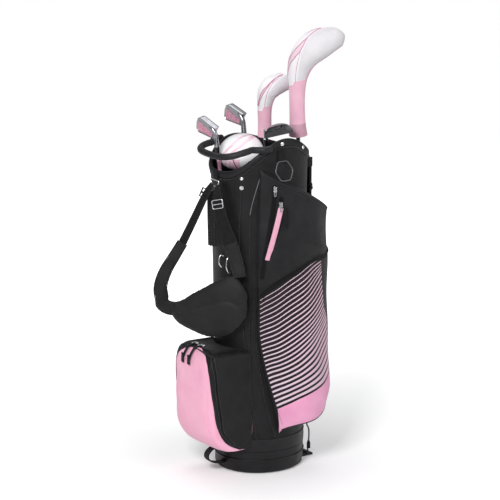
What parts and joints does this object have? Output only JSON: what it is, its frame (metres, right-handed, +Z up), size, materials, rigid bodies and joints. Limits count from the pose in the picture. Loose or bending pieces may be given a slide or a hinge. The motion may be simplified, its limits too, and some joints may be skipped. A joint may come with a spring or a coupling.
{
  "type": "golf club set",
  "caption": "Stand bag with folding legs, shoulder straps and pockets, holding woods under knit covers, an uncovered wood, irons and a putter.",
  "frame": {"origin": "on the floor, under the middle of the boot", "axes": "+Z up; +X towards the folding legs and -X towards the shoulder straps; -Y towards the apparel pocket"},
  "size_m": [0.4626, 0.3223, 1.1136],
  "materials": {
    "moulded black plastic": "fine satin",
    "black nylon fabric": "plain weave",
    "pink and black nylon fabric": "plain weave",
    "black webbing": "ribbed weave",
    "padded mesh fabric": "soft padded",
    "pink ribbon": "satin",
    "black rubber": "matt",
    "bright plated steel": "polished",
    "black coated steel": "satin",
    "black anodised aluminium": "satin",
    "black painted graphite": "gloss",
    "pink painted graphite": "gloss",
    "white painted metal": "gloss",
    "pink and white knit": "ribbed knit"
  },
  "bodies": {
    "left_iron": {"left_iron_head": "bright plated steel", "left_iron_grip": "black rubber", "left_iron_shaft": "pink painted graphite"},
    "right_iron": {"right_iron_head": "bright plated steel", "right_iron_grip": "black rubber", "right_iron_shaft": "pink painted graphite"},
    "putter": {"putter_head": "black coated steel", "putter_grip": "black rubber", "putter_shaft": "bright plated steel"},
    "open_wood": {"open_wood_head": "white painted metal", "open_wood_grip": "black rubber", "open_wood_shaft": "black painted graphite"},
    "driver": {"driver_head": "black painted graphite", "driver_grip": "black rubber", "driver_shaft": "black painted graphite", "driver_cover": "pink and white knit"},
    "hybrid": {"hybrid_head": "black painted graphite", "hybrid_grip": "black rubber", "hybrid_shaft": "black painted graphite", "hybrid_cover": "pink and white knit"},
    "leg_near": {"leg_near": "black anodised aluminium", "leg_foot_near": "black rubber"},
    "leg_far": {"leg_far": "black anodised aluminium", "leg_foot_far": "black rubber"},
    "foot_plate": {"stand_foot_plate": "moulded black plastic"},
    "wire": {"actuator_wire": "black coated steel"},
    "towel_ring": {"towel_ring": "black coated steel"},
    "upper_zip": {"upper_zip_slider": "bright plated steel"},
    "ribbon_zip": {"ribbon_zip_slider": "bright plated steel", "ribbon_pull": "pink ribbon", "cord_pull": "black webbing"},
    "side_zip": {"side_zip_slider": "bright plated steel", "side_zip_pull": "black webbing"},
    "ball_zip_near": {"ball_zip_slider_near": "bright plated steel", "ball_zip_pull_near": "black webbing"},
    "ball_zip_far": {"ball_zip_slider_far": "bright plated steel", "ball_zip_pull_far": "black webbing"},
    "bag": {"bag_base": "moulded black plastic", "bag_body": "black nylon fabric", "body_stay_near": "moulded black plastic", "body_stay_far": "moulded black plastic", "top_collar": "moulded black plastic", "club_divider": "moulded black plastic", "carry_handle": "black rubber", "apparel_pocket": "pink and black nylon fabric", "ball_pocket": "pink and black nylon fabric", "towel_tab": "black webbing", "d_ring_tab": "black webbing", "spine_d_ring": "bright plated steel", "far_strap_web": "black webbing", "ladder_lock": "moulded black plastic", "far_strap_pad": "padded mesh fabric", "near_strap_web": "black webbing", "strap_triglide": "bright plated steel", "near_strap_pad": "padded mesh fabric", "spine_strap": "padded mesh fabric", "shoulder_pad": "padded mesh fabric", "lower_grab_loop": "black webbing", "leg_bracket_near": "moulded black plastic", "leg_bracket_far": "moulded black plastic"}
  },
  "joints": [
    {"name": "left_iron_lift", "type": "slide", "parent": "bag", "child": "left_iron", "axis": [-0.1552, -0.0308, 0.9874], "range_m": [0, 0.86]},
    {"name": "right_iron_lift", "type": "slide", "parent": "bag", "child": "right_iron", "axis": [-0.057, 0.0596, 0.9966], "range_m": [0, 0.86]},
    {"name": "putter_lift", "type": "slide", "parent": "bag", "child": "putter", "axis": [-0.0078, 0.0195, 0.9998], "range_m": [0, 0.86]},
    {"name": "open_wood_lift", "type": "slide", "parent": "bag", "child": "open_wood", "axis": [0.0091, 0.0454, 0.9989], "range_m": [0, 0.86]},
    {"name": "driver_lift", "type": "slide", "parent": "bag", "child": "driver", "axis": [0.0305, -0.0045, 0.9995], "range_m": [0, 0.86]},
    {"name": "hybrid_lift", "type": "slide", "parent": "bag", "child": "hybrid", "axis": [0.035, 0.0324, 0.9989], "range_m": [0, 0.86]},
    {"name": "leg_near_hinge", "type": "hinge", "parent": "bag", "child": "leg_near", "pos_m": [0.13388, -0.02608, 0.768], "axis": [-0.2309, -0.973, 0], "range_deg": [0, 28]},
    {"name": "leg_far_hinge", "type": "hinge", "parent": "bag", "child": "leg_far", "pos_m": [0.13388, 0.02608, 0.768], "axis": [0.2309, -0.973, 0], "range_deg": [0, 28]},
    {"name": "foot_plate_hinge", "type": "hinge", "parent": "bag", "child": "foot_plate", "pos_m": [0.045, 0, 0.0028], "axis": [0, -1, 0], "range_deg": [0, 12]},
    {"name": "actuator_wire_slide", "type": "slide", "parent": "bag", "child": "wire", "axis": [0, 0, 1], "range_m": [0, 0.0175]},
    {"name": "towel_ring_hinge", "type": "hinge", "parent": "bag", "child": "towel_ring", "pos_m": [-0.01125, -0.11598, 0.80615], "axis": [-0.9969, 0.0781, 0], "range_deg": [0, 60]},
    {"name": "upper_zip_slide", "type": "slide", "parent": "bag", "child": "upper_zip", "axis": [-0.0742, -0.0997, -0.9922], "range_m": [0, 0.012]},
    {"name": "ribbon_zip_slide", "type": "slide", "parent": "bag", "child": "ribbon_zip", "axis": [-0.0664, -0.1329, -0.9889], "range_m": [0, 0.03]},
    {"name": "side_zip_turn", "type": "hinge", "parent": "bag", "child": "side_zip", "pos_m": [0.20068, -0.096, 0.57835], "axis": [-0.306, -0.2915, 0.9063], "range_deg": [0, 23.68]},
    {"name": "ball_zip_near_slide", "type": "slide", "parent": "bag", "child": "ball_zip_near", "axis": [0, -1, 0], "range_m": [0, 0.055]},
    {"name": "ball_zip_far_slide", "type": "slide", "parent": "bag", "child": "ball_zip_far", "axis": [0, 1, 0], "range_m": [0, 0.03]}
  ],
  "couplings": [
    {"joint": "leg_far_hinge", "follows": "leg_near_hinge", "ratio": 1},
    {"joint": "foot_plate_hinge", "follows": "leg_near_hinge", "ratio": 0.42857},
    {"joint": "actuator_wire_slide", "follows": "leg_near_hinge", "m_per_rad": 0.035196}
  ]
}
